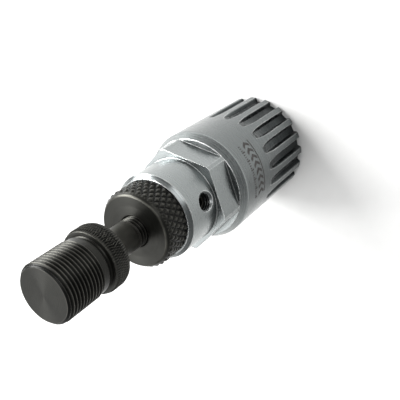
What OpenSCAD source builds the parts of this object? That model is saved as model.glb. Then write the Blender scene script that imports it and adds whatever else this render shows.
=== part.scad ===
// Splined bottom-bracket tool with its retaining bolt, standing on its splined end.
// Units are millimetres. The origin is the centre of the splined end face and +Z runs
// along the tool's axis, through the body and the clamp nut to the spindle adapter.
// The -Y side carries the radial grub screw and one of the six spanner flats.

/* [Tool body] */
// Diameter of the barrel and of the spline crests
barrel_d = 32.2; // [26.8:0.1:40]
// Length of the barrel, from the splined end to the shoulder
barrel_l = 36.1; // [30:0.1:50]
// Length of the conical shoulder between the barrel and the flats
shoulder_l = 2.4; // [1:0.1:5]
// Distance across the six spanner flats
flats_af = 26; // [21.6:0.1:31.4]
// Depth to which the corners between the flats are turned off
corner_cut = 0.3; // [0.1:0.1:1]
// Length of the flats along the axis
flats_l = 7.9; // [5:0.1:14]
// Diameter of the round collar behind the flats
collar_d = 24; // [20:0.1:29]
// Length of the round collar
collar_l = 12.3; // [10.2:0.1:20]
// Chamfer on the collar's rear edge
collar_chamfer = 1; // [0.2:0.1:1.2]
// Chamfer on the edges of the splined end
end_chamfer = 0.5; // [0.2:0.1:0.8]
// Length of the broken edge between the barrel and the shoulder, to each side
edge_break = 0.25; // [0.1:0.05:0.5]

/* [Splines] */
// Number of milled grooves
groove_count = 20; // [8:1:22]
// Width of a groove's floor
groove_floor_w = 1.9; // [1.5:0.05:2.3]
// Slope of a groove's flanks away from the radial direction
groove_flank_angle = 30; // [20:1:36]
// Depth of a groove below the barrel
groove_depth = 1.4; // [1:0.05:1.7]
// Length of a groove at its full depth
groove_l = 15.2; // [10:0.1:24]
// Radius of the disc cutter, which gives each groove its long run-out
cutter_r = 19.5; // [12:0.5:30]
// Angle from the flat on the -Y side to the nearest groove
groove_offset = 6; // [0:0.5:9]

/* [Bores in the body] */
// Wall of the barrel round the spindle bore, between the grooves
barrel_wall = 4.35; // [3:0.05:6]
// Distance from the floor of the spindle bore to the shoulder
bore_setback = 2.1; // [1:0.1:10]
// Width of the square drive hole, for a 1/2 inch drive
square_w = 12.85; // [10.7:0.05:15.5]
// Depth of the square drive hole
square_l = 14.7; // [12.2:0.1:18]
// Space left round the square's corners in the bore behind it
square_relief = 0.4; // [0.2:0.1:1]

/* [Grub screw] */
// Diameter of the grub screw
grub_d = 5; // [3:0.5:6]
// Length of the grub screw
grub_l = 4; // [3:0.5:5]
// Length of the grub screw's tip inside the square hole
grub_reach = 0.6; // [0:0.1:1]
// Gap between the grub screw and the end of the nut's spigot
grub_gap = 1; // [0.5:0.1:1.5]
// Width across the grub screw's hexagon socket
grub_socket_af = 2.5; // [1.5:0.1:3]
// Depth of the grub screw's hexagon socket
grub_socket_l = 1.8; // [1:0.1:2.2]
// Chamfer on the grub screw's tip
grub_tip_chamfer = 0.4; // [0.2:0.1:0.6]
// Chamfer on the grub screw's outer end
grub_end_chamfer = 0.2; // [0.1:0.1:0.4]
// Depth of the countersink round the tapped hole
grub_countersink = 0.25; // [0.1:0.05:0.5]

/* [Thrust washer] */
// Width of the collar's rim round the washer's seat
washer_rim = 1.7; // [1.2:0.1:2.5]
// Thickness of the thrust washer
washer_t = 1; // [0.8:0.1:1.5]
// Height by which the washer stands out of its seat
washer_proud = 0.1; // [0.05:0.05:0.4]

/* [Clamp nut] */
// Diameter over the clamp nut's knurl
nut_d = 21.6; // [18:0.1:26]
// Length of the clamp nut, without its spigot
nut_l = 7.8; // [5:0.1:14]
// Width of the chamfer round the clamp nut's front face
nut_chamfer_w = 1.1; // [0.3:0.1:2]
// Length of that chamfer along the axis
nut_chamfer_l = 1.6; // [0.5:0.1:3]
// Chamfer at the clamp nut's rear edge
nut_rear_chamfer = 0.3; // [0.1:0.1:0.8]
// Length of the spigot that centres the nut in the square hole
spigot_l = 4.8; // [3:0.1:6]
// Depth of the countersink at the mouth of the nut's thread
nut_countersink = 0.7; // [0.3:0.1:1.2]

/* [Retaining bolt] */
// Diameter of the long threaded rod, M8 x 1
rod_d = 8; // [6:0.1:9.6]
// Length of rod that stands out of the grip
rod_free_l = 60.6; // [50:0.1:74]
// Length of rod screwed into the spindle adapter
rod_held_l = 10; // [6:0.1:14]
// Chamfer on the rod's ends
rod_chamfer = 0.7; // [0.3:0.1:1]
// Gap between the seated clamp nut and the grip
grip_gap = 12; // [6:0.1:30]
// Diameter over the grip's knurl
grip_d = 16.9; // [16:0.1:24]
// Length of the knurled grip
grip_l = 5; // [4:0.1:10]
// Chamfer on both edges of the grip
grip_chamfer = 0.5; // [0.2:0.1:1]
// Diameter of the spindle thread, M15 x 1
spindle_thread_d = 15; // [12:0.1:18]
// Length of the spindle thread
spindle_thread_l = 11.4; // [8:0.1:20]
// Chamfer on the end of the spindle thread
thread_chamfer = 0.7; // [0.3:0.1:1]
// Diameter of the plain band behind the spindle thread
plain_band_d = 14.4; // [12:0.1:17.8]
// Length of the plain band behind the spindle thread
plain_band_l = 1.8; // [0.5:0.1:4]
// Width of the relief groove between the grip and the plain band
relief_groove_w = 1.2; // [0.4:0.1:2]
// Depth of the relief groove below the crests of the thread
relief_groove_depth = 0.8; // [0.6:0.1:1.5]

/* [Clearances] */
// Radial clearance between the rod and the clamp nut's thread
thread_clearance = 0.06; // [0.02:0.01:0.1]
// Radial clearance of screws and rods that are fixed in their holes
fixed_clearance = 0.02; // [0.01:0.01:0.05]
// Radial clearance of the washer, in its seat and on the spigot
washer_clearance = 0.1; // [0.05:0.05:0.2]
// Clearance between the spigot and each side of the square hole
spigot_clearance = 0.225; // [0.05:0.025:0.4]

/* [Hidden] */
$fn = 96;
cut = 1; // how far a cutting shape runs past the face that it opens

body_silver = [0.66, 0.68, 0.67];
oxide_black = [0.11, 0.11, 0.12];
washer_grey = [0.45, 0.46, 0.47];

shoulder_z = barrel_l;
flats_z = shoulder_z + shoulder_l;
collar_z = flats_z + flats_l;
body_top = collar_z + collar_l;

seat_z = body_top + washer_proud - washer_t;
washer_top = seat_z + washer_t;
nut_top = washer_top + nut_l;
grip_z = nut_top + grip_gap;
grip_top = grip_z + grip_l;
plain_band_z = grip_top + relief_groove_w;
spindle_thread_z = plain_band_z + plain_band_l;
bolt_top = spindle_thread_z + spindle_thread_l;
rod_low = grip_z - rod_free_l;

corner_d = flats_af / cos(30) - 2 * corner_cut;
shoulder_slope = (barrel_d - corner_d) / 2 / shoulder_l;
groove_floor_r = barrel_d / 2 - groove_depth;
groove_mouth_w = groove_floor_w + 2 * (groove_depth + cut) * tan(groove_flank_angle);
run_out_angle = acos(1 - (groove_depth + cut) / cutter_r);
spindle_bore_d = barrel_d - 2 * barrel_wall;
spindle_bore_l = barrel_l - bore_setback;
square_relief_d = square_w * sqrt(2) + square_relief;

spigot_d = square_w - 2 * spigot_clearance;
nut_bore_d = rod_d + 2 * thread_clearance;
nut_face_d = nut_d - 2 * nut_chamfer_w;
washer_d = collar_d - 2 * (washer_rim + washer_clearance);
washer_hole_d = spigot_d + 2 * washer_clearance;
relief_groove_d = spindle_thread_d - 2 * relief_groove_depth;

grub_hole_d = grub_d + 2 * fixed_clearance;
grub_tip = square_w / 2 - grub_reach;
grub_z = washer_top - spigot_l - grub_gap - grub_d / 2;

// A round bar from z = 0 to z = l, with a chamfer at its lower and its upper edge
module turned_bar(d, l, low_chamfer, high_chamfer) {
    rotate_extrude()
        polygon([
            [0, 0],
            [d / 2 - low_chamfer, 0],
            [d / 2, low_chamfer],
            [d / 2, l - high_chamfer],
            [d / 2 - high_chamfer, l],
            [0, l]
        ]);
}

// A hexagonal prism with its first flat facing -Y
module hexagon_bar(af, l) {
    cylinder(d = af / cos(30), h = l, $fn = 6);
}

// A groove's section from its floor at x = floor_x to its mouth at x = mouth_x
module groove_section(floor_x, mouth_x) {
    polygon([
        [floor_x, -groove_floor_w / 2],
        [floor_x, groove_floor_w / 2],
        [mouth_x, groove_mouth_w / 2],
        [mouth_x, -groove_mouth_w / 2]
    ]);
}

// The groove that one pass of the disc cutter leaves on the +X side, with its run-out
module spline_groove() {
    translate([0, 0, -cut])
        linear_extrude(groove_l + cut)
            groove_section(groove_floor_r, barrel_d / 2 + cut);
    translate([groove_floor_r + cutter_r, 0, groove_l])
        rotate([90, 0, 180])
            rotate_extrude(angle = run_out_angle)
                groove_section(cutter_r, cutter_r - groove_depth - cut);
}

// The turned outside of the body: barrel, shoulder, flats and collar
module body_blank() {
    rotate_extrude()
        polygon([
            [0, 0],
            [barrel_d / 2 - end_chamfer, 0],
            [barrel_d / 2, end_chamfer],
            [barrel_d / 2, shoulder_z - edge_break],
            [barrel_d / 2 - edge_break * shoulder_slope, shoulder_z + edge_break],
            [corner_d / 2, flats_z],
            [0, flats_z]
        ]);
    translate([0, 0, flats_z])
        intersection() {
            cylinder(d = corner_d, h = flats_l);
            hexagon_bar(flats_af, flats_l);
        }
    translate([0, 0, collar_z])
        turned_bar(collar_d, collar_l, 0, collar_chamfer);
}

// The spindle bore, the square drive hole with its relief, and the washer's seat
module body_bores() {
    translate([0, 0, -cut])
        cylinder(d = spindle_bore_d, h = spindle_bore_l + cut);
    cylinder(d1 = spindle_bore_d + 2 * end_chamfer, d2 = spindle_bore_d, h = end_chamfer);
    cylinder(d = square_relief_d, h = body_top - square_l);
    translate([-square_w / 2, -square_w / 2, 0])
        cube([square_w, square_w, body_top + cut]);
    translate([0, 0, seat_z])
        cylinder(d = washer_d + 2 * washer_clearance, h = washer_t + cut);
}

// The tapped hole for the grub screw, with a light countersink at the collar
module grub_hole() {
    translate([0, 0, grub_z])
        rotate([90, 0, 0]) {
            cylinder(d = grub_hole_d, h = collar_d);
            translate([0, 0, collar_d / 2 - 2 * grub_countersink])
                cylinder(d1 = grub_hole_d, d2 = grub_hole_d + 4 * grub_countersink, h = 2 * grub_countersink);
        }
}

module tool_body() {
    color(body_silver)
        difference() {
            body_blank();
            body_bores();
            grub_hole();
            for (i = [0 : groove_count - 1])
                rotate([0, 0, i * 360 / groove_count - 90 - groove_offset])
                    spline_groove();
        }
}

module grub_screw() {
    color(oxide_black)
        translate([0, -grub_tip, grub_z])
            rotate([90, 0, 0])
                difference() {
                    turned_bar(grub_d, grub_l, grub_tip_chamfer, grub_end_chamfer);
                    translate([0, 0, grub_l - grub_socket_l])
                        hexagon_bar(grub_socket_af, grub_socket_l + cut);
                }
}

module thrust_washer() {
    color(washer_grey)
        translate([0, 0, seat_z])
            difference() {
                cylinder(d = washer_d, h = washer_t);
                translate([0, 0, -cut])
                    cylinder(d = washer_hole_d, h = washer_t + 2 * cut);
            }
}

module clamp_nut() {
    color(oxide_black)
        translate([0, 0, washer_top])
            difference() {
                rotate_extrude()
                    polygon([
                        [nut_bore_d / 2, -spigot_l],
                        [spigot_d / 2, -spigot_l],
                        [spigot_d / 2, 0],
                        [nut_d / 2 - nut_rear_chamfer, 0],
                        [nut_d / 2, nut_rear_chamfer],
                        [nut_d / 2, nut_l - nut_chamfer_l],
                        [nut_face_d / 2, nut_l],
                        [nut_bore_d / 2, nut_l]
                    ]);
                translate([0, 0, nut_l - nut_countersink])
                    cylinder(d1 = nut_bore_d, d2 = nut_bore_d + 2 * nut_countersink, h = nut_countersink);
            }
}

module threaded_rod() {
    color(oxide_black)
        translate([0, 0, rod_low])
            turned_bar(rod_d, rod_free_l + rod_held_l, rod_chamfer, rod_chamfer);
}

module spindle_adapter() {
    color(oxide_black)
        difference() {
            union() {
                translate([0, 0, grip_z])
                    turned_bar(grip_d, grip_l, grip_chamfer, grip_chamfer);
                translate([0, 0, grip_top])
                    cylinder(d = relief_groove_d, h = relief_groove_w);
                translate([0, 0, plain_band_z])
                    cylinder(d = plain_band_d, h = plain_band_l);
                translate([0, 0, spindle_thread_z])
                    turned_bar(spindle_thread_d, spindle_thread_l, 0, thread_chamfer);
            }
            translate([0, 0, grip_z - cut])
                cylinder(d = rod_d + 2 * fixed_clearance, h = rod_held_l + cut);
        }
}

tool_body();
grub_screw();
thrust_washer();
clamp_nut();
threaded_rod();
spindle_adapter();
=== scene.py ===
"""Looks of a splined bottom-bracket tool with its retaining bolt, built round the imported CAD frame.

The tool stands on its splined end, at z = 0, with +Z along its axis. From the floor up come the
splined body, the thrust washer, the knurled clamp nut, the threaded rod and the spindle adapter.
The frame is in metres. Sizes in the classes below are in millimetres, as on a maker's drawing.
"""

import logging
import math
from collections.abc import Callable, Sequence
from dataclasses import dataclass, replace
from enum import Enum

import bmesh
import bpy
import numpy as np
from mathutils import Matrix, Vector


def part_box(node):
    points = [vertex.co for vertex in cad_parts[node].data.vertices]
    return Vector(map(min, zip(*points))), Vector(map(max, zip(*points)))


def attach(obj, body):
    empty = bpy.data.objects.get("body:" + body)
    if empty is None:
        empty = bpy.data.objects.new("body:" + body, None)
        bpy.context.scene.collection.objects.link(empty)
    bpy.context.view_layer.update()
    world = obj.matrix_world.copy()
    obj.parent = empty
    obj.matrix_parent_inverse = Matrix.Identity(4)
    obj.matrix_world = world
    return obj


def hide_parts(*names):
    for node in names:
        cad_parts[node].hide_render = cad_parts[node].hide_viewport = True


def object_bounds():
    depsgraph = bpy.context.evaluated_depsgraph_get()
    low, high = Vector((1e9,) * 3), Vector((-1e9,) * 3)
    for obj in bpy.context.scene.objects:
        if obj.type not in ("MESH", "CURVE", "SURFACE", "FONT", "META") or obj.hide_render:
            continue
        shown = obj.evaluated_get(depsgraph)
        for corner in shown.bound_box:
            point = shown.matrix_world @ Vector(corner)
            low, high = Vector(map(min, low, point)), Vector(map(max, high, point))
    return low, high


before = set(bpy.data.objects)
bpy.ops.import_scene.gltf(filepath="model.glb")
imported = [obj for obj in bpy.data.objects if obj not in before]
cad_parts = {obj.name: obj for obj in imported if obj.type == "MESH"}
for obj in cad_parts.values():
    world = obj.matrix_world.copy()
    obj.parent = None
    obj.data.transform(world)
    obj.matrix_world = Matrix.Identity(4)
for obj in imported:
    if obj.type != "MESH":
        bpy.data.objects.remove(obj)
CAD_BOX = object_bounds()

MM = 0.001
TURN = 2 * math.pi
BARREL_RADIUS = 16.1  # over the splines
RELIEF = "relief"  # -1 at the root of a thread or knurl, 0 on plain faces, 1 on a crest
WORN_AND_HIGHLIT = 1.0  # the relief of an edge that hands and other parts rub bright, which also paints a highlight line there

# Places of a Mix node's sockets, whose names A and B stand for its numbers and its colours alike.
SHARE, NUMBER_A, NUMBER_B, COLOUR_A, COLOUR_B = 0, 2, 3, 6, 7
NUMBER_OUT, COLOUR_OUT = 0, 2

log = logging.getLogger("bottom_bracket_tool")

Tree = bpy.types.NodeTree
Socket = bpy.types.NodeSocket
Point = tuple[float, float, float]
Face = tuple[int, ...]
Station = tuple[tuple[float, float], tuple[float, float]]  # two points, each an arc length and a height
RadiusOf = Callable[[np.ndarray, np.ndarray], np.ndarray]  # from a radius and a height to a radius


def linear(colour: str) -> tuple[float, float, float, float]:
    """Turns an sRGB hex colour into the linear colour that a shader takes.

    Args:
        colour: Six hex digits after a #.

    Returns:
        Red, green, blue and an alpha of 1, in linear light.
    """
    shares = [int(colour[i : i + 2], 16) / 255 for i in (1, 3, 5)]
    red, green, blue = (s / 12.92 if s <= 0.04045 else ((s + 0.055) / 1.055) ** 2.4 for s in shares)
    return red, green, blue, 1.0


def add_node(
    tree: Tree,
    kind: str,
    settings: dict[str, object] | None = None,
    inputs: dict[str | int, object] | None = None,
) -> bpy.types.Node:
    """Adds one node with its settings and links.

    Args:
        tree: The node tree that takes the node.
        kind: Blender's name for the node type, without its ShaderNode prefix.
        settings: Properties of the node itself.
        inputs: A value or another node's output for each input, by name or place.

    Returns:
        The new node.
    """
    node = tree.nodes.new("ShaderNode" + kind)
    for name, value in (settings or {}).items():
        setattr(node, name, value)
    for key, value in (inputs or {}).items():
        if isinstance(value, Socket):
            tree.links.new(value, node.inputs[key])
        else:
            node.inputs[key].default_value = value
    return node


def linked(name: str, data: bpy.types.ID) -> bpy.types.Object:
    """Makes an object and links it to the scene.

    Args:
        name: The object's name.
        data: Its mesh, light or camera.

    Returns:
        The object.
    """
    made = bpy.data.objects.new(name, data)
    bpy.context.scene.collection.objects.link(made)
    return made


def fresh_tree(owner: bpy.types.Material | bpy.types.World) -> Tree:
    """Switches a material or world to nodes.

    Args:
        owner: The material or world.

    Returns:
        Its tree, emptied.
    """
    owner.use_nodes = True
    owner.node_tree.nodes.clear()
    return owner.node_tree


# ---- finishes


@dataclass(frozen=True)
class Place:
    """Where a shaded point lies, as sockets of a material's tree."""

    point: Socket
    axial: Socket
    radial: Socket
    end_face: Socket


@dataclass(frozen=True)
class LatheFinish:
    """A metal whose faces a lathe cut in fine rings round the tool's axis.

    The rings run round a cylinder and lie inside each other on an end face, so their height is a
    noise along the axis on the one and along the radius on the other. They stretch highlights
    across themselves, which the anisotropy gives. Hollows and roots get a painted shade colour,
    and crests and edges a worn colour that also paints highlights.
    """

    name: str
    colour: str
    # colour of the painted shade in hollows, roots, grooves and over the barrel
    painted_shade_colour: str
    # colour of worn metal, which also paints highlights on edges and crests
    worn_and_lit_colour: str
    metallic: float
    roughness: float
    roughness_spread: float
    anisotropy: float
    ring_pitch: float
    ring_depth: float
    mottle_size: float
    edge_width: float
    recess_depth: float
    # shares of wear on edges and crests, which also paint highlights there
    edge_wear_and_highlight: float
    crest_wear_and_highlight: float
    # shares of painted shade in hollows and in thread and knurl roots
    hollow_shade_share: float
    root_shade_share: float

    END_FACE_TILT = 0.6  # a face is an end face where its normal runs further along the axis
    ACROSS_RINGS = 0.25  # part of a turn that takes a highlight from along the rings to across
    EDGE_START, EDGE_FULL = 0.995, 0.93  # cosine of rounded to flat normal where wear starts, is full
    CREST_START = 0.3  # relief where rubbing and a painted highlight start
    ROOT_FULL = -0.7  # relief where painted shade has its full share
    OPEN, SHUT_IN = 0.96, 0.6  # open share of a point's surroundings, for no painted shade and for all
    NOISE_LOW, NOISE_HIGH = 0.35, 0.65  # the range that most of a noise lies in
    LEAST_WEAR_AND_HIGHLIGHT = 0.4  # share of the wear and painted highlight that is left between its patches
    RAYS = 6  # rays of a bevel or occlusion node

    def material(self) -> bpy.types.Material:
        """Builds the material.

        Returns:
            The finished material, ready for a piece's slot.
        """
        made = bpy.data.materials.new(self.name)
        tree = fresh_tree(made)
        place = self._place(tree)
        rings = self._rings(tree, place)
        mottle = add_node(
            tree,
            "TexNoise",
            inputs={"Vector": place.point, "Scale": 1 / (self.mottle_size * MM), "Detail": 4.0},
        ).outputs["Fac"]
        rounded = add_node(tree, "Bevel", {"samples": self.RAYS}, {"Radius": self.edge_width * MM}).outputs[0]
        relief = add_node(tree, "Attribute", {"attribute_name": RELIEF}).outputs["Fac"]
        # wear on edges and crests, partly a painted highlight
        wear_and_highlight = self._wear_and_highlight(tree, rounded, relief, mottle)
        # painted shade in hollows, roots, grooves and over the barrel
        painted_shade = self._painted_shade(tree, relief, place)
        unshaded = add_node(
            tree,
            "Mix",
            {"data_type": "RGBA"},
            {SHARE: wear_and_highlight, COLOUR_A: linear(self.colour), COLOUR_B: linear(self.worn_and_lit_colour)},
        ).outputs[COLOUR_OUT]
        shade = add_node(
            tree,
            "Mix",
            {"data_type": "RGBA"},
            {SHARE: painted_shade, COLOUR_A: unshaded, COLOUR_B: linear(self.painted_shade_colour)},
        ).outputs[COLOUR_OUT]
        streaks = add_node(
            tree, "Mix", {"data_type": "FLOAT"}, {SHARE: 0.5, NUMBER_A: rings, NUMBER_B: mottle}
        ).outputs[NUMBER_OUT]
        dull = add_node(
            tree,
            "MapRange",
            inputs={
                "Value": streaks,
                "From Min": self.NOISE_LOW,
                "From Max": self.NOISE_HIGH,
                "To Min": self.roughness - self.roughness_spread,
                "To Max": self.roughness + self.roughness_spread,
            },
        ).outputs[0]
        bump = add_node(
            tree, "Bump", inputs={"Height": rings, "Distance": self.ring_depth * MM, "Normal": rounded}
        ).outputs[0]
        grain = add_node(tree, "Tangent", {"direction_type": "RADIAL", "axis": "Z"}).outputs[0]
        shader = add_node(
            tree,
            "BsdfPrincipled",
            inputs={
                "Base Color": shade,
                "Metallic": self.metallic,
                "Roughness": dull,
                "Anisotropic": self.anisotropy,
                "Anisotropic Rotation": self.ACROSS_RINGS,
                "Normal": bump,
                "Tangent": grain,
            },
        )
        add_node(tree, "OutputMaterial", inputs={"Surface": shader.outputs[0]})
        return made

    def _place(self, tree: Tree) -> Place:
        """Adds the nodes that say where a point lies.

        Args:
            tree: The material's tree.

        Returns:
            Its height, its distance from the axis and whether it is on an end face.
        """
        given = add_node(tree, "TexCoord").outputs
        point = given["Object"]
        axial = add_node(tree, "SeparateXYZ", inputs={0: point}).outputs["Z"]
        across = add_node(tree, "VectorMath", {"operation": "MULTIPLY"}, {0: point, 1: (1, 1, 0)}).outputs[0]
        radial = add_node(tree, "VectorMath", {"operation": "LENGTH"}, {0: across}).outputs["Value"]
        lean = add_node(tree, "SeparateXYZ", inputs={0: given["Normal"]}).outputs["Z"]
        tilt = add_node(tree, "Math", {"operation": "ABSOLUTE"}, {0: lean}).outputs[0]
        end_face = add_node(tree, "Math", {"operation": "GREATER_THAN"}, {0: tilt, 1: self.END_FACE_TILT})
        return Place(point, axial, radial, end_face.outputs[0])

    def _rings(self, tree: Tree, place: Place) -> Socket:
        """Adds the lathe's rings.

        Args:
            tree: The material's tree.
            place: Where a point lies.

        Returns:
            Their height, from 0 to 1.
        """
        feed = add_node(
            tree,
            "Mix",
            {"data_type": "FLOAT"},
            {SHARE: place.end_face, NUMBER_A: place.axial, NUMBER_B: place.radial},
        ).outputs[NUMBER_OUT]
        return add_node(
            tree,
            "TexNoise",
            {"noise_dimensions": "1D"},
            {"W": feed, "Scale": 1 / (self.ring_pitch * MM), "Detail": 3.0, "Roughness": 0.6},
        ).outputs["Fac"]

    def _wear_and_highlight(self, tree: Tree, rounded: Socket, relief: Socket, mottle: Socket) -> Socket:
        """Adds patchy wear on edges and crests, which also paints highlights there.

        Args:
            tree: The material's tree.
            rounded: The normal as it would be with rounded edges.
            relief: The height in a thread or knurl.
            mottle: The noise that the patches follow.

        Returns:
            The share of worn metal and painted highlight, from 0 to 1.
        """
        flat = add_node(tree, "NewGeometry").outputs["Normal"]
        turned = add_node(tree, "VectorMath", {"operation": "DOT_PRODUCT"}, {0: rounded, 1: flat})
        edge = add_node(
            tree,
            "MapRange",
            inputs={
                "Value": turned.outputs["Value"],
                "From Min": self.EDGE_START,
                "From Max": self.EDGE_FULL,
                "To Max": self.edge_wear_and_highlight,
            },
        ).outputs[0]
        crest = add_node(
            tree,
            "MapRange",
            inputs={"Value": relief, "From Min": self.CREST_START, "To Max": self.crest_wear_and_highlight},
        ).outputs[0]
        worn_and_lit = add_node(tree, "Math", {"operation": "MAXIMUM"}, {0: edge, 1: crest}).outputs[0]
        patchy = add_node(
            tree,
            "MapRange",
            inputs={
                "Value": mottle,
                "From Min": self.NOISE_LOW,
                "From Max": self.NOISE_HIGH,
                "To Min": self.LEAST_WEAR_AND_HIGHLIGHT,
            },
        ).outputs[0]
        return add_node(tree, "Math", {"operation": "MULTIPLY"}, {0: worn_and_lit, 1: patchy}).outputs[0]

    def _painted_shade(self, tree: Tree, relief: Socket, place: Place) -> Socket:
        """Adds painted shade in hollows, in thread and knurl roots and where a finish places it.

        Args:
            tree: The material's tree.
            relief: The height in a thread or knurl.
            place: Where a point lies.

        Returns:
            The share of painted shade, from 0 to 1.
        """
        # occlusion sets the painted shade in hollows
        around = add_node(
            tree, "AmbientOcclusion", {"samples": self.RAYS}, {"Distance": self.recess_depth * MM}
        ).outputs["AO"]
        hollow = add_node(
            tree,
            "MapRange",
            inputs={
                "Value": around,
                "From Min": self.OPEN,
                "From Max": self.SHUT_IN,
                "To Max": self.hollow_shade_share,
            },
        ).outputs[0]
        # painted shade in thread and knurl roots
        root = add_node(
            tree, "MapRange", inputs={"Value": relief, "From Max": self.ROOT_FULL, "To Max": self.root_shade_share}
        ).outputs[0]
        painted_shade = add_node(tree, "Math", {"operation": "MAXIMUM"}, {0: hollow, 1: root}).outputs[0]
        placed_shade = self.placed_shade(tree, place)
        if placed_shade is None:
            return painted_shade
        return add_node(tree, "Math", {"operation": "MAXIMUM"}, {0: painted_shade, 1: placed_shade}).outputs[0]

    def placed_shade(self, tree: Tree, place: Place) -> Socket | None:
        """Share of painted shade that comes with a place on the tool, where a finish has any."""
        return None


@dataclass(frozen=True)
class SplinedFinish(LatheFinish):
    """A lathe finish with painted shade in its milled grooves, most at the open end.

    Painted shade also darkens the whole barrel, up to its shoulder.
    """

    groove_top: float = 23.0
    # depths under the barrel where painted shade in the grooves starts and is full
    unshaded_depth: float = 0.05
    fully_shaded_depth: float = 0.45
    top_share: float = 0.62
    foot_share: float = 0.95
    # painted shade over the barrel, up to its shoulder
    barrel_shade_top: float = 36.0
    barrel_shade_share: float = 0.4

    def placed_shade(self, tree: Tree, place: Place) -> Socket:
        """Share of painted shade in the grooves and the bore, and over the barrel.

        Args:
            tree: The material's tree.
            place: Where a point lies.

        Returns:
            The larger of the two, from 0 to 1.
        """
        # painted shade down in the grooves and the bore, strongest at the open end
        below = add_node(
            tree,
            "MapRange",
            inputs={
                "Value": place.radial,
                "From Min": (BARREL_RADIUS - self.unshaded_depth) * MM,
                "From Max": (BARREL_RADIUS - self.fully_shaded_depth) * MM,
            },
        ).outputs[0]
        top = self.groove_top * MM
        share = add_node(
            tree,
            "MapRange",
            inputs={
                "Value": place.axial,
                "From Min": top,
                "From Max": top / 2,
                "To Min": self.top_share,
                "To Max": self.foot_share,
            },
        ).outputs[0]
        low = add_node(tree, "Math", {"operation": "LESS_THAN"}, {0: place.axial, 1: top}).outputs[0]
        side = add_node(tree, "Math", {"operation": "SUBTRACT"}, {0: low, 1: place.end_face}).outputs[0]
        kept = add_node(tree, "Math", {"operation": "MULTIPLY", "use_clamp": True}, {0: below, 1: side})
        groove_shade = add_node(tree, "Math", {"operation": "MULTIPLY"}, {0: kept.outputs[0], 1: share}).outputs[0]
        # painted shade over the barrel
        on_barrel = add_node(tree, "Math", {"operation": "LESS_THAN"}, {0: place.axial, 1: self.barrel_shade_top * MM})
        barrel_shade = add_node(tree, "Math", {"operation": "MULTIPLY"}, {0: on_barrel.outputs[0], 1: self.barrel_shade_share})
        return add_node(tree, "Math", {"operation": "MAXIMUM"}, {0: groove_shade, 1: barrel_shade.outputs[0]}).outputs[0]


# Turned steel under a satin nickel plate. To the eye it is a cool, soft silver with highlights
# that smear along the tool, whiter edges from wear and a painted highlight, and painted shade
# down in the grooves and over the barrel. The real feed is about 0.1 mm a turn, too fine to show,
# so the rings are drawn at 0.35 mm.
SATIN_NICKEL_STEEL = SplinedFinish(
    name="satin_nickel_plated_turned_steel",
    colour="#7f8383",
    painted_shade_colour="#1b2021",
    worn_and_lit_colour="#f2f3f2",
    metallic=1.0,
    roughness=0.27,
    roughness_spread=0.08,
    anisotropy=0.45,
    ring_pitch=0.35,
    ring_depth=0.018,
    mottle_size=6.0,
    edge_width=0.34,
    recess_depth=0.7,
    edge_wear_and_highlight=1.0,
    crest_wear_and_highlight=0.3,
    hollow_shade_share=0.25,
    root_shade_share=0.6,
)

# The same steel where a tap cut it, in the radial hole. To the eye it is a dark, oily grey, with
# painted shade in its darker colour and its hollows, and thin bright lines on the crests that are
# partly a painted highlight.
OILED_AND_SHADED_CUT_STEEL = replace(
    SATIN_NICKEL_STEEL,
    name="oiled_and_shaded_cut_steel",
    colour="#55595a",
    painted_shade_colour="#0d0f10",
    edge_width=0.08,
    crest_wear_and_highlight=0.5,
    hollow_shade_share=0.9,
)

# Turned steel with a hot black-oxide skin. To the eye it is a warm near-black with a low oily
# sheen, lighter where handling has rubbed the crests, which is also a painted highlight, and with
# painted shade down in threads and knurls. The rings are drawn at 0.3 mm, because the real feed
# of 0.1 mm would not show.
BLACK_OXIDE_STEEL = LatheFinish(
    name="black_oxide_turned_steel",
    colour="#262623",
    painted_shade_colour="#0c0d0c",
    worn_and_lit_colour="#6a6962",
    metallic=0.8,
    roughness=0.36,
    roughness_spread=0.06,
    anisotropy=0.75,
    ring_pitch=0.3,
    ring_depth=0.012,
    mottle_size=3.5,
    edge_width=0.16,
    recess_depth=1.0,
    edge_wear_and_highlight=0.75,
    crest_wear_and_highlight=0.4,
    hollow_shade_share=0.25,
    root_shade_share=0.9,
)

# Hardened washer steel, ground flat. To the eye it is a plain mid grey, finer and duller than
# the plated body, with hardly any wear because it turns in its seat under oil.
GROUND_WASHER_STEEL = LatheFinish(
    name="hardened_ground_washer_steel",
    colour="#8d8f8f",
    painted_shade_colour="#303233",
    worn_and_lit_colour="#c9cbca",
    metallic=1.0,
    roughness=0.3,
    roughness_spread=0.04,
    anisotropy=0.2,
    ring_pitch=0.25,
    ring_depth=0.004,
    mottle_size=3.0,
    edge_width=0.06,
    recess_depth=0.8,
    edge_wear_and_highlight=0.5,
    crest_wear_and_highlight=0.5,
    hollow_shade_share=0.6,
    root_shade_share=0.6,
)

# Oxide that a marking laser leaves in the plate. To the eye it is a flat brown-grey with no
# highlight of its own, since the beam has broken the plate's surface up.
LASER_OXIDE = LatheFinish(
    name="laser_marked_oxide",
    colour="#3d3a39",
    painted_shade_colour="#2a2827",
    worn_and_lit_colour="#56524f",
    metallic=0.2,
    roughness=0.7,
    roughness_spread=0.06,
    anisotropy=0.0,
    ring_pitch=0.3,
    ring_depth=0.004,
    mottle_size=1.2,
    edge_width=0.03,
    recess_depth=0.5,
    edge_wear_and_highlight=0.3,
    crest_wear_and_highlight=0.3,
    hollow_shade_share=0.3,
    root_shade_share=0.3,
)


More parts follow.
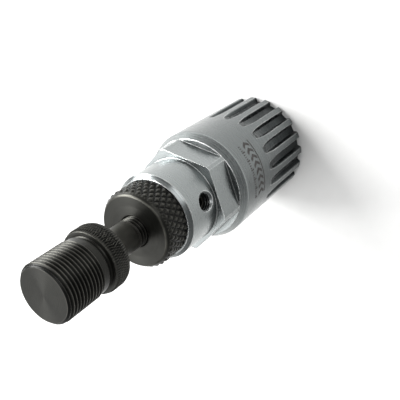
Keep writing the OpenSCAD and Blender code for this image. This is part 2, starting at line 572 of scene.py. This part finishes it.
@dataclass(frozen=True)
class StudioPaper:
    """Matt white background paper, which gives the eye an even pale floor with a faint tooth."""

    name: str = "matt_studio_paper"
    colour: str = "#dadad9"
    shadow_colour: str = "#d5d5d4"
    fibre_size: float = 4.0
    roughness: float = 0.9

    def material(self) -> bpy.types.Material:
        """Builds the paper material.

        Returns:
            The finished material.
        """
        made = bpy.data.materials.new(self.name)
        tree = fresh_tree(made)
        point = add_node(tree, "TexCoord").outputs["Object"]
        fibre = add_node(
            tree, "TexNoise", inputs={"Vector": point, "Scale": 1 / (self.fibre_size * MM), "Detail": 3.0}
        ).outputs["Fac"]
        tone = add_node(
            tree,
            "Mix",
            {"data_type": "RGBA"},
            {SHARE: fibre, COLOUR_A: linear(self.colour), COLOUR_B: linear(self.shadow_colour)},
        ).outputs[COLOUR_OUT]
        shader = add_node(tree, "BsdfPrincipled", inputs={"Base Color": tone, "Roughness": self.roughness})
        add_node(tree, "OutputMaterial", inputs={"Surface": shader.outputs[0]})
        return made


class Finish(Enum):
    """The finishes of the tool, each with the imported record's slot that it belongs to."""

    PLATED = (SATIN_NICKEL_STEEL, "plated_steel")
    BLACK = (BLACK_OXIDE_STEEL, "black_oxide_steel")
    WASHER = (GROUND_WASHER_STEEL, "hardened_washer_steel")
    TAPPED = (OILED_AND_SHADED_CUT_STEEL, "plated_steel")
    MARK = (LASER_OXIDE, "plated_steel")

    def dress(self, piece: bpy.types.Object) -> None:
        """Gives a piece this finish, made once and shared after that.

        Args:
            piece: The piece to dress.
        """
        look = self.value[0]
        material = bpy.data.materials.get(look.name) or look.material()
        piece.data.materials.clear()
        piece.data.materials.append(material)

    @property
    def slot(self) -> str:
        """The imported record's name for the slot."""
        return self.value[1]


# ---- turned meshes

MERGE_REACH = 1e-3  # points closer than this become one
SLIVER = 1e-4  # edges shorter than this go


@dataclass(frozen=True)
class Thread:
    """A right-handed 60 degree thread. Every thread on the axis takes its phase from z = 0."""

    radius: float
    pitch: float = 1.0
    clearance: float = 0.0
    depth_per_pitch: float = 0.6134

    CREST_EDGE = 1 / 16  # share of the pitch from the middle of a crest to its edge
    ROOT_EDGE = 3 / 8  # share of the pitch from the middle of a crest to the edge of a root

    @property
    def root(self) -> float:
        """Radius at the root of the thread."""
        return self.radius - self.depth_per_pitch * self.pitch + self.clearance

    @property
    def crest(self) -> float:
        """Radius at the crest of the thread."""
        return self.radius + self.clearance

    def radius_at(self, angle: np.ndarray, height: np.ndarray) -> np.ndarray:
        """Radius of the thread's surface.

        Args:
            angle: Angles round the axis, in radians.
            height: Places along the axis.

        Returns:
            The radius at each pair.
        """
        phase = np.mod(height / self.pitch - angle / TURN, 1.0)
        marks = [0, self.CREST_EDGE, self.ROOT_EDGE, 1 - self.ROOT_EDGE, 1 - self.CREST_EDGE, 1]
        return np.interp(phase, marks, [self.crest, self.crest, self.root, self.root, self.crest, self.crest])

    def row_phases(self, fine: bool) -> list[float]:
        """Phases of the mesh rows in one turn.

        Args:
            fine: Whether a row also halves each flank and the root.

        Returns:
            The phases, in rising order.
        """
        rows = [-self.CREST_EDGE, self.CREST_EDGE, self.ROOT_EDGE, 1 - self.ROOT_EDGE]
        if fine:
            middle = (self.CREST_EDGE + self.ROOT_EDGE) / 2
            rows = sorted([*rows, middle, 0.5, 1 - middle])
        return rows


@dataclass(frozen=True)
class Knurl:
    """A diamond knurl: two crossing sets of helical valleys that leave rows of small pyramids."""

    count: int
    diamond_length: float
    depth: float
    flat_share: float
    samples: int

    ROW_GAP = 0.05  # share of a row's step that the rows keep clear of the band's ends

    @property
    def columns(self) -> int:
        """Columns of the mesh round the axis, so that valleys run from corner to corner."""
        return self.count * self.samples

    def relief_at(self, angle: np.ndarray, height: float) -> np.ndarray:
        """How high the knurl stands.

        Args:
            angle: Angles round the axis, in radians.
            height: Place along the axis.

        Returns:
            From 0 in a valley to 1 on a pyramid's flat top, at each angle.
        """
        turn, rise = angle / TURN * self.count, height / self.diamond_length
        away = [np.abs(np.mod(lean + 0.5, 1.0) - 0.5) * 2 for lean in (turn + rise, turn - rise)]
        return np.minimum(1.0, np.minimum(*away) / (1 - self.flat_share))

    def rows(self, low: float, high: float) -> list[float]:
        """Places the mesh rows so that valleys run from corner to corner.

        Args:
            low: Where the band starts.
            high: Where it ends.

        Returns:
            The rows' heights.
        """
        step = self.diamond_length / self.samples
        first, last = math.ceil(low / step + self.ROW_GAP), math.floor(high / step - self.ROW_GAP)
        return [i * step for i in range(first, last + 1)]


class LatheSkin:
    """A closed skin round the axis, gathered ring by ring in millimetres and in order."""

    LEVEL = 1e-6  # radii closer than this are the same
    SPARE_TURNS = 3  # turns of rows past a thread's band, the first below it, all cut off there
    CREASE = 32.0  # edges that turn by more degrees than this stay crisp

    def __init__(self, columns: int) -> None:
        """Starts an empty skin.

        Args:
            columns: Points in each ring.
        """
        self.columns = columns
        self.angle = np.arange(columns) * TURN / columns
        self.points: list[np.ndarray] = []
        self.relief: list[np.ndarray] = []
        self.faces: list[Face] = []
        self.total = 0
        self.last: tuple[int, np.ndarray] | None = None

    def _store(self, angle: np.ndarray, radius: np.ndarray, height: np.ndarray, relief: np.ndarray) -> int:
        """Stores points.

        Args:
            angle: Their angles round the axis.
            radius: Their radii.
            height: Their places along the axis.
            relief: Their heights in a knurl or thread.

        Returns:
            The number of the first.
        """
        self.points.append(np.stack([radius * np.cos(angle), radius * np.sin(angle), height], axis=1))
        self.relief.append(relief)
        self.total += len(angle)
        return self.total - len(angle)

    def ring(self, radius: float | np.ndarray, height: float, relief: float | np.ndarray = 0.0) -> None:
        """Adds a ring and joins it to the one before.

        Args:
            radius: One radius, or one for each column.
            height: Its place along the axis.
            relief: Its height in a knurl or thread, from -1 to 1.
        """
        radii = np.full(self.columns, radius, float)
        heights, reliefs = np.full(self.columns, height, float), np.full(self.columns, relief, float)
        first = self._store(self.angle, radii, heights, reliefs)
        if self.last is not None:
            self._join(*self.last, first, radii)
        self.last = (first, radii)

    def _join(self, below: int, low: np.ndarray, above: int, high: np.ndarray) -> None:
        """Joins two rings, splitting each four-sided face along its valley or its ridge.

        Args:
            below: Number of the first ring's first point.
            low: Its radii.
            above: Number of the second ring's first point.
            high: Its radii.
        """
        for i in range(self.columns):
            n = (i + 1) % self.columns
            corners = (below + i, below + n, above + n, above + i)
            rising, falling = abs(low[i] - high[n]), abs(low[n] - high[i])
            if max(rising, falling, abs(low[i] - low[n])) < self.LEVEL:
                self.faces.append(corners)
            elif (rising, low[i]) < (falling, low[n]):
                self.faces += [corners[:3], (corners[0], *corners[2:])]
            else:
                self.faces += [(*corners[:2], corners[3]), corners[1:]]

    def turn(self, outline: Sequence[tuple[float, float]]) -> None:
        """Adds a plain ring at each (radius, height) of a turned outline."""
        for radius, height in outline:
            self.ring(radius, height)

    def knurl(
        self, knurl: Knurl, crest: float, low: float, high: float, limit: Callable[[float], float]
    ) -> None:
        """Adds a knurled band.

        Args:
            knurl: The knurl to cut.
            crest: Radius of its tops.
            low: Where the band starts.
            high: Where it ends.
            limit: Largest radius that the turned blank has at a height.
        """
        for height in knurl.rows(low, high):
            stand = knurl.relief_at(self.angle, height)
            blank = limit(height)
            radius = np.minimum(crest - knurl.depth * (1 - stand), blank)
            cut = np.clip((blank - crest + knurl.depth) / knurl.depth, 0, 1)
            self.ring(radius, height, (stand * 2 - 1) * cut)

    def thread(self, thread: Thread, start: float, end: float, trim: RadiusOf, fine: bool = False) -> None:
        """Adds a threaded band whose mesh rows follow the helix.

        Args:
            thread: The thread to cut.
            start: Height where the band begins, next to the ring before it.
            end: Height where it ends, above or below the start.
            trim: Takes the thread's radius and the height, and gives the radius that is left.
            fine: Whether the flanks get a middle row.
        """
        low, high = min(start, end), max(start, end)
        phases = thread.row_phases(fine)
        per_turn = len(phases)
        turns = math.ceil((high - low) / thread.pitch) + self.SPARE_TURNS
        anchor = math.floor(low / thread.pitch) - 1
        pitch_share = np.array([turn + phase for turn in range(turns) for phase in phases])
        height = thread.pitch * (anchor + pitch_share[:, None] + np.arange(self.columns) / self.columns)
        height = np.clip(height, low, high)
        angle = np.broadcast_to(self.angle, height.shape)
        self._threaded_ring(thread, start, trim)
        radius = trim(thread.radius_at(angle, height), height)
        relief = self._thread_relief(thread, radius)
        first = self._store(angle.ravel(), radius.ravel(), height.ravel(), relief.ravel())
        for row in range(len(pitch_share) - 1):
            for i in range(self.columns):
                lift, n = (0, i + 1) if i + 1 < self.columns else (per_turn, 0)
                if row + 1 + lift < len(pitch_share):
                    here, next_on = first + row * self.columns + i, first + (row + lift) * self.columns + n
                    self.faces.append((here, next_on, next_on + self.columns, here + self.columns))
        self.last = None
        self._threaded_ring(thread, end, trim)

    def _thread_relief(self, thread: Thread, radius: np.ndarray) -> np.ndarray:
        """Relief of a thread's points, from -1 at the root to 1 at the crest."""
        return np.clip((radius - thread.root) / (thread.crest - thread.root), 0, 1) * 2 - 1

    def _threaded_ring(self, thread: Thread, height: float, trim: RadiusOf) -> None:
        """Adds the ring that closes one end of a threaded band.

        Args:
            thread: The thread.
            height: Where the band ends.
            trim: As for the band.
        """
        heights = np.full(self.columns, height)
        radius = trim(thread.radius_at(self.angle, heights), heights)
        self.ring(radius, height, self._thread_relief(thread, radius))

    def build(self, name: str, place: Matrix | None = None) -> bpy.types.Object:
        """Makes the mesh object.

        Args:
            name: The piece's name.
            place: Turns the skin's own axes to the frame's, in metres.

        Returns:
            The new object, linked to the scene.
        """
        points = np.concatenate(self.points) * MM
        mesh = bpy.data.meshes.new(name)
        mesh.from_pydata(points.tolist(), [], self.faces)
        stored = mesh.attributes.new(RELIEF, "FLOAT", "POINT")
        stored.data.foreach_set("value", np.concatenate(self.relief).astype(np.float32))
        if place is not None:
            mesh.transform(place)
        seal(mesh)
        mesh.set_sharp_from_angle(angle=math.radians(self.CREASE))
        return linked(name, mesh)


def seal(mesh: bpy.types.Mesh) -> None:
    """Merges points that coincide, drops faces without area and turns all faces outward.

    Args:
        mesh: The mesh, in metres.
    """
    work = bmesh.new()
    work.from_mesh(mesh)
    bmesh.ops.remove_doubles(work, verts=work.verts, dist=MERGE_REACH * MM)
    bmesh.ops.dissolve_degenerate(work, edges=work.edges, dist=SLIVER * MM)
    bmesh.ops.recalc_face_normals(work, faces=work.faces)
    for face in work.faces:
        face.smooth = True
    work.to_mesh(mesh)
    work.free()


def cad_span(node: str) -> tuple[float, float, float]:
    """Lowest height, highest height and largest radius of a CAD node, in millimetres."""
    low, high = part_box(node)
    return low.z / MM, high.z / MM, max(high.x, high.y) / MM


def report(piece: bpy.types.Object, body: str) -> None:
    """Logs a finished piece."""
    log.info("%s: %d faces, rides on %s", piece.name, len(piece.data.polygons), body)


def fitted(
    piece: bpy.types.Object, body: str, finish: Finish, stands_for: Sequence[str] = ()
) -> bpy.types.Object:
    """Dresses a piece and joins it to the frame.

    Args:
        piece: The piece, in place.
        body: The CAD body that carries it.
        finish: Its finish, which also names the record's slot.
        stands_for: CAD nodes that it replaces.

    Returns:
        The same piece.
    """
    finish.dress(piece)
    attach(piece, body)
    if stands_for:
        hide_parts(*stands_for)
    report(piece, body)
    return piece


# ---- sub-assemblies


@dataclass
class SplinedBody:
    """The plated body: CAD's own solid, with laser marks and the thread in its radial hole."""

    body: str = "body"
    mark_start_degrees: float = -117.0
    mark_end_degrees: float = -59.0
    scale_row: tuple[float, float] = (30.9, 32.2)
    chevron_row: tuple[float, float] = (27.0, 30.0)
    underline: tuple[float, float] = (26.2, 26.6)
    ticks: int = 24
    ticks_per_major: int = 4
    major_width: float = 0.42
    minor_width: float = 0.26
    minor_gap: float = 0.45
    chevrons: int = 8
    chevron_width: float = 0.95
    chevron_slant: float = 1.0
    chevron_steps: int = 16
    mark_height: float = 0.02  # enough to clear the barrel's facets
    mark_sink: float = 0.04
    hole_thread: Thread = Thread(radius=2.5, pitch=0.8)
    hole_wall: float = 2.56
    hole_crest: float = 2.3
    hole_mouth: float = 11.45
    hole_columns: int = 48
    screw_gap: float = 0.05

    def dress(self) -> None:
        """Gives the body, its grub screw and its washer their finishes."""
        for node, finish in (
            ("tool_body", Finish.PLATED),
            ("grub_screw", Finish.BLACK),
            ("thrust_washer", Finish.WASHER),
        ):
            finish.dress(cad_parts[node])
            report(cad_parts[node], "its own CAD body")

    def _strip(self, stations: Sequence[Station], points: list[Point], faces: list[Face]) -> None:
        """Adds one thin closed plate, bent to the barrel.

        Args:
            stations: Pairs of opposite edge points along the plate.
            points: Takes the plate's points.
            faces: Takes its faces.
        """
        first = len(points)
        start = math.radians(self.mark_start_degrees)
        for arc, height in (end for station in stations for end in station):
            angle = start + arc / BARREL_RADIUS
            for radius in (BARREL_RADIUS - self.mark_sink, BARREL_RADIUS + self.mark_height):
                points.append((radius * math.cos(angle) * MM, radius * math.sin(angle) * MM, height * MM))
        last = len(points) - 4
        for a in range(first, last, 4):
            faces += [(a + i, a + j, a + 4 + j, a + 4 + i) for i, j in ((0, 1), (1, 3), (3, 2), (2, 0))]
        faces += [(first, first + 2, first + 3, first + 1), (last, last + 1, last + 3, last + 2)]

    def marks(self) -> bpy.types.Object:
        """Builds the laser marks: a graduated scale, a row of chevrons and a line.

        Returns:
            The piece, riding on the body.
        """
        length = math.radians(self.mark_end_degrees - self.mark_start_degrees) * BARREL_RADIUS
        points: list[Point] = []
        faces: list[Face] = []
        low, high = self.scale_row
        for i in range(self.ticks):
            left = length * i / self.ticks
            major = i % self.ticks_per_major == 0
            foot = low if major else low + self.minor_gap
            right = left + (self.major_width if major else self.minor_width)
            self._strip([((left, foot), (left, high)), ((right, foot), (right, high))], points, faces)
        low, high = self.chevron_row
        wide, slant = self.chevron_width, self.chevron_slant
        rise = np.linspace(0, 1, self.chevron_steps + 1)
        heights = low + (high - low) * rise
        for i in range(self.chevrons):
            left = (length - slant - wide) * i / (self.chevrons - 1)
            arcs = left + slant * (1 - np.abs(2 * rise - 1))
            self._strip([((a, h), (a + wide, h)) for a, h in zip(arcs, heights)], points, faces)
        low, high = self.underline
        arcs = np.linspace(0, length, self.ticks + 1).tolist()
        self._strip([((arc, low), (arc, high)) for arc in arcs], points, faces)
        mesh = bpy.data.meshes.new("laser_marks")
        mesh.from_pydata(points, [], faces)
        seal(mesh)
        for polygon in mesh.polygons:
            polygon.use_smooth = False
        return fitted(linked("laser_marks", mesh), self.body, Finish.MARK)

    def hole_thread_ring(self) -> bpy.types.Object:
        """Builds the thread turns that show in the radial hole, outside the grub screw.

        Returns:
            The piece, riding on the body.
        """
        low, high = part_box("grub_screw")
        middle = (low.z + high.z) / 2
        floor, mouth = -low.y / MM + self.screw_gap, self.hole_mouth

        def trim(thread_radius: np.ndarray, height: np.ndarray) -> np.ndarray:
            """Leaves the crests as flat as the tap drill's hole."""
            return np.maximum(thread_radius, self.hole_crest)

        skin = LatheSkin(self.hole_columns)
        skin.turn([(self.hole_wall, floor), (self.hole_wall, mouth)])
        skin.thread(self.hole_thread, mouth, floor, trim, fine=True)
        skin.turn([(self.hole_wall, floor)])
        outward = Matrix(((1, 0, 0, 0), (0, 0, -1, 0), (0, 1, 0, middle), (0, 0, 0, 1)))
        return fitted(skin.build("grub_hole_thread", outward), self.body, Finish.TAPPED)

    def build(self) -> None:
        """Builds everything that belongs to the body."""
        self.dress()
        self.marks()
        self.hole_thread_ring()


@dataclass
class ClampNut:
    """The knurled nut with its spigot, and the M8 x 1 thread that the rod runs in."""

    body: str = "nut"
    chamfer_width: float = 1.1
    chamfer_length: float = 1.6
    rear_chamfer: float = 0.3
    spigot_radius: float = 6.2
    spigot_chamfer: float = 0.3
    bore_mouth: float = 0.4
    bore_foot: float = 0.44
    edge_break: float = 0.2
    face_groove_radius: float = 7.0
    face_groove_width: float = 0.3
    face_groove_depth: float = 0.04
    rod_thread: Thread = Thread(radius=4.0, clearance=0.06)
    knurl: Knurl = Knurl(count=35, diamond_length=2.95, depth=0.55, flat_share=0.2, samples=8)

    def build(self) -> bpy.types.Object:
        """Builds the nut.

        Returns:
            The piece, riding on the nut's body in place of its CAD node.
        """
        foot, top, radius = cad_span("clamp_nut")
        rear = cad_span("thrust_washer")[1]
        bore_radius = self.rod_thread.crest
        slope = self.chamfer_width / self.chamfer_length
        cone_foot, face_radius = top - self.chamfer_length, radius - self.chamfer_width
        knurl_end = cone_foot + self.knurl.depth / slope

        def blank(height: float) -> float:
            """Radius of the turned blank before the knurl is rolled."""
            cone = (height - cone_foot) * slope
            return min(radius, radius - cone, radius - self.rear_chamfer + (height - rear))

        def bore(thread_radius: np.ndarray, height: np.ndarray) -> np.ndarray:
            """Opens the thread with a cone at either end of the bore.

            Args:
                thread_radius: The thread's own radius.
                height: Places along the axis.

            Returns:
                The radius that is left.
            """
            mouth = bore_radius + self.bore_mouth - (top - height)
            lower = bore_radius + self.bore_foot - (height - foot)
            return np.maximum(thread_radius, np.maximum(mouth, lower))

        skin = LatheSkin(self.knurl.columns)
        skin.turn(
            [
                (bore_radius + self.bore_foot, foot),
                (self.spigot_radius - self.spigot_chamfer, foot),
                (self.spigot_radius, foot + self.spigot_chamfer),
                (self.spigot_radius, rear),
                (radius - self.knurl.depth, rear),
            ]
        )
        skin.knurl(self.knurl, radius, rear, knurl_end, blank)
        skin.ring(blank(knurl_end), knurl_end)
        rim = self.edge_break
        skin.ring(face_radius + 2 * rim * slope, top - 2 * rim)
        # rim rings that the wear lightens, also a painted highlight line
        skin.ring(face_radius + rim * slope, top - rim, WORN_AND_HIGHLIT)
        skin.ring(face_radius - rim, top, WORN_AND_HIGHLIT)
        groove, wide, deep = self.face_groove_radius, self.face_groove_width, self.face_groove_depth
        skin.turn(
            [
                (face_radius - 2 * rim, top),
                (groove + wide, top),
                (groove, top - deep),
                (groove - wide, top),
                (bore_radius + self.bore_mouth, top),
            ]
        )
        skin.thread(self.rod_thread, top - self.bore_mouth, foot + self.bore_foot, bore)
        skin.turn([(bore_radius + self.bore_foot, foot)])
        return fitted(skin.build("knurled_clamp_nut"), self.body, Finish.BLACK, ["clamp_nut"])


@dataclass
class RetainingBolt:
    """The long rod and the spindle adapter that is fixed on its end."""

    body: str = "bolt"
    shank_length: float = 9.1
    rod_chamfer: float = 0.7
    rod_columns: int = 64
    run_out_slope: float = 0.6
    hole_radius: float = 4.02
    hole_chamfer: float = 0.25
    grip_length: float = 5.0
    grip_chamfer: float = 0.5
    groove_width: float = 1.2
    groove_radius: float = 6.7
    band_length: float = 1.8
    band_radius: float = 7.2
    fillet: float = 0.2
    thread_chamfer: float = 0.7
    grip: Knurl = Knurl(count=84, diamond_length=1.7, depth=0.4, flat_share=0.0, samples=2)
    rod_thread: Thread = Thread(radius=4.0)
    spindle_thread: Thread = Thread(radius=7.5, depth_per_pitch=0.5)

    def rod(self) -> bpy.types.Object:
        """Builds the rod: a threaded length with a plain shank under the grip.

        Returns:
            The piece, riding on the bolt in place of its CAD node.
        """
        low, high, radius = cad_span("threaded_rod")
        shank = cad_span("spindle_adapter")[0] - self.shank_length

        def trim(thread_radius: np.ndarray, height: np.ndarray) -> np.ndarray:
            """Chamfers the free end and lets the thread run out into the shank."""
            run_out = radius - (shank - height) * self.run_out_slope
            return np.minimum(np.maximum(thread_radius, run_out), radius - self.rod_chamfer + (height - low))

        skin = LatheSkin(self.rod_columns)
        skin.turn([(0, low), (radius - self.rod_chamfer, low)])
        skin.thread(self.rod_thread, low, shank, trim)
        skin.turn([(radius, high - self.rod_chamfer), (radius - self.rod_chamfer, high), (0, high)])
        return fitted(skin.build("threaded_rod_m8"), self.body, Finish.BLACK, ["threaded_rod"])

    def adapter(self) -> bpy.types.Object:
        """Builds the spindle adapter: fine-knurled grip, relief groove, band and M15 x 1 thread.

        Returns:
            The piece, riding on the bolt in place of its CAD node.
        """
        low, high, radius = cad_span("spindle_adapter")
        hole_floor = cad_span("threaded_rod")[1]
        grip_top = low + self.grip_length
        band = grip_top + self.groove_width
        thread_foot = band + self.band_length
        crest, grip = self.spindle_thread.crest, self.grip

        def trim(thread_radius: np.ndarray, height: np.ndarray) -> np.ndarray:
            """Chamfers the thread's end and starts it from the plain band.

            Args:
                thread_radius: The thread's own radius.
                height: Places along the axis.

            Returns:
                The radius that is left.
            """
            start = np.minimum(crest, self.band_radius + (height - thread_foot))
            run_in = np.minimum(self.band_radius, self.band_radius - (height - thread_foot))
            end = crest - self.thread_chamfer + (high - height)
            return np.minimum(np.clip(thread_radius, run_in, start), end)

        skin = LatheSkin(grip.columns)
        skin.turn(
            [
                (0, hole_floor),
                (self.hole_radius, hole_floor),
                (self.hole_radius, low + self.hole_chamfer),
                (self.hole_radius + self.hole_chamfer, low),
                (radius - self.grip_chamfer, low),
                (radius - grip.depth, low + self.grip_chamfer - grip.depth),
            ]
        )
        skin.knurl(grip, radius, low + self.grip_chamfer, grip_top - self.grip_chamfer, lambda height: radius)
        skin.turn(
            [
                (radius - grip.depth, grip_top - self.grip_chamfer + grip.depth),
                (radius - self.grip_chamfer, grip_top),
                (self.groove_radius + self.fillet, grip_top),
                (self.groove_radius, grip_top + self.fillet),
                (self.groove_radius, band - self.fillet),
                (self.groove_radius + self.fillet, band),
                (self.band_radius - self.fillet / 2, band),
                (self.band_radius, band + self.fillet / 2),
            ]
        )
        skin.thread(self.spindle_thread, thread_foot, high, trim, fine=True)
        rim = crest - self.thread_chamfer - self.fillet / 2
        # rim ring that the wear lightens, also a painted highlight line
        skin.ring(rim, high, WORN_AND_HIGHLIT)
        skin.turn([(rim - self.fillet, high), (0, high)])
        return fitted(skin.build("spindle_adapter_m15"), self.body, Finish.BLACK, ["spindle_adapter"])

    def build(self) -> None:
        """Builds the rod and the adapter."""
        self.rod()
        self.adapter()


# ---- studio


@dataclass(frozen=True)
class Softbox:
    """A square studio light with a diffuser, aimed at the middle of the tool."""

    name: str
    direction: tuple[float, float, float]
    distance: float
    side: float
    watts: float

    def place(self, aim: Vector) -> None:
        """Puts the light in the scene, out of the camera's sight.

        Args:
            aim: The point that it faces.
        """
        data = bpy.data.lights.new(self.name, "AREA")
        data.shape, data.size = "SQUARE", self.side
        data.energy = self.watts
        lamp = linked(self.name, data)
        lamp.location = aim + Vector(self.direction).normalized() * self.distance
        lamp.rotation_mode = "QUATERNION"
        lamp.rotation_quaternion = (aim - lamp.location).to_track_quat("-Z", "Y")
        lamp.visible_camera = False


@dataclass
class Studio:
    """The pale paper floor, the soft lights and the camera, which looks down past the bolt's end.

    Unlike the tool's sizes, the studio's are in metres.
    """

    floor_side: float = 6.0
    camera_place: tuple[float, float, float] = (0.04149, -0.10674, 0.17081)
    camera_right: tuple[float, float, float] = (-0.3140, -0.7899, -0.5268)
    camera_back: tuple[float, float, float] = (0.2566, -0.6047, 0.7539)
    lens: float = 55.66
    sensor: float = 36.0
    camera_clip: tuple[float, float] = (0.01, 20.0)
    room_light: float = 0.45
    bright_side: str = "#ffffff"
    dark_side: str = "#c0c2c3"
    dark_end: float = -0.9
    bright_end: float = 0.5
    softboxes: tuple[Softbox, ...] = (
        Softbox("key_softbox", (0.68, 0.56, 0.47), 0.42, 0.25, 3.7),
        Softbox("top_softbox", (-0.10, 0.45, 0.88), 0.9, 0.9, 7.6),
        Softbox("spot_softbox", (0.227, 0.475, 0.85), 0.8, 0.14, 2.8),
        Softbox("fill_softbox", (0.40, -0.62, 0.68), 0.5, 0.3, 0.8),
    )

    def floor(self) -> None:
        """Lays the paper that the tool stands on."""
        half = self.floor_side / 2
        corners = [(-half, -half, 0), (half, -half, 0), (half, half, 0), (-half, half, 0)]
        mesh = bpy.data.meshes.new("paper_floor")
        mesh.from_pydata(corners, [], [(0, 1, 2, 3)])
        mesh.materials.append(StudioPaper().material())
        linked("paper_floor", mesh)

    def room(self) -> None:
        """Lights the room evenly, a little darker on the camera's side."""
        world = bpy.data.worlds.new("studio_room")
        tree = fresh_tree(world)
        direction = add_node(tree, "TexCoord").outputs["Generated"]
        depth = add_node(tree, "SeparateXYZ", inputs={0: direction}).outputs["Y"]
        share = add_node(
            tree,
            "MapRange",
            inputs={"Value": depth, "From Min": self.dark_end, "From Max": self.bright_end},
        ).outputs[0]
        tone = add_node(
            tree,
            "Mix",
            {"data_type": "RGBA"},
            {SHARE: share, COLOUR_A: linear(self.dark_side), COLOUR_B: linear(self.bright_side)},
        ).outputs[COLOUR_OUT]
        light = add_node(tree, "Background", inputs={"Color": tone, "Strength": self.room_light})
        add_node(tree, "OutputWorld", inputs={"Surface": light.outputs[0]})
        bpy.context.scene.world = world

    def camera(self) -> None:
        """Sets the camera up at the viewing angle."""
        data = bpy.data.cameras.new("camera")
        data.lens, data.sensor_width = self.lens, self.sensor
        data.clip_start, data.clip_end = self.camera_clip
        right, back = Vector(self.camera_right).normalized(), Vector(self.camera_back).normalized()
        up = back.cross(right).normalized()
        turned = Matrix((up.cross(back), up, back)).transposed().to_4x4()
        eye = linked("camera", data)
        eye.matrix_world = Matrix.Translation(self.camera_place) @ turned
        bpy.context.scene.camera = eye

    def build(self) -> None:
        """Builds the studio round the tool."""
        low, high = CAD_BOX
        self.floor()
        self.room()
        for softbox in self.softboxes:
            softbox.place((low + high) / 2)
        self.camera()
        bpy.context.scene.view_settings.view_transform = "Standard"


def main() -> None:
    """Builds the tool from the floor up, then the studio."""
    logging.basicConfig(level=logging.INFO, format="%(message)s")
    SplinedBody().build()
    ClampNut().build()
    RetainingBolt().build()
    Studio().build()


if __name__ == "__main__":
    main()
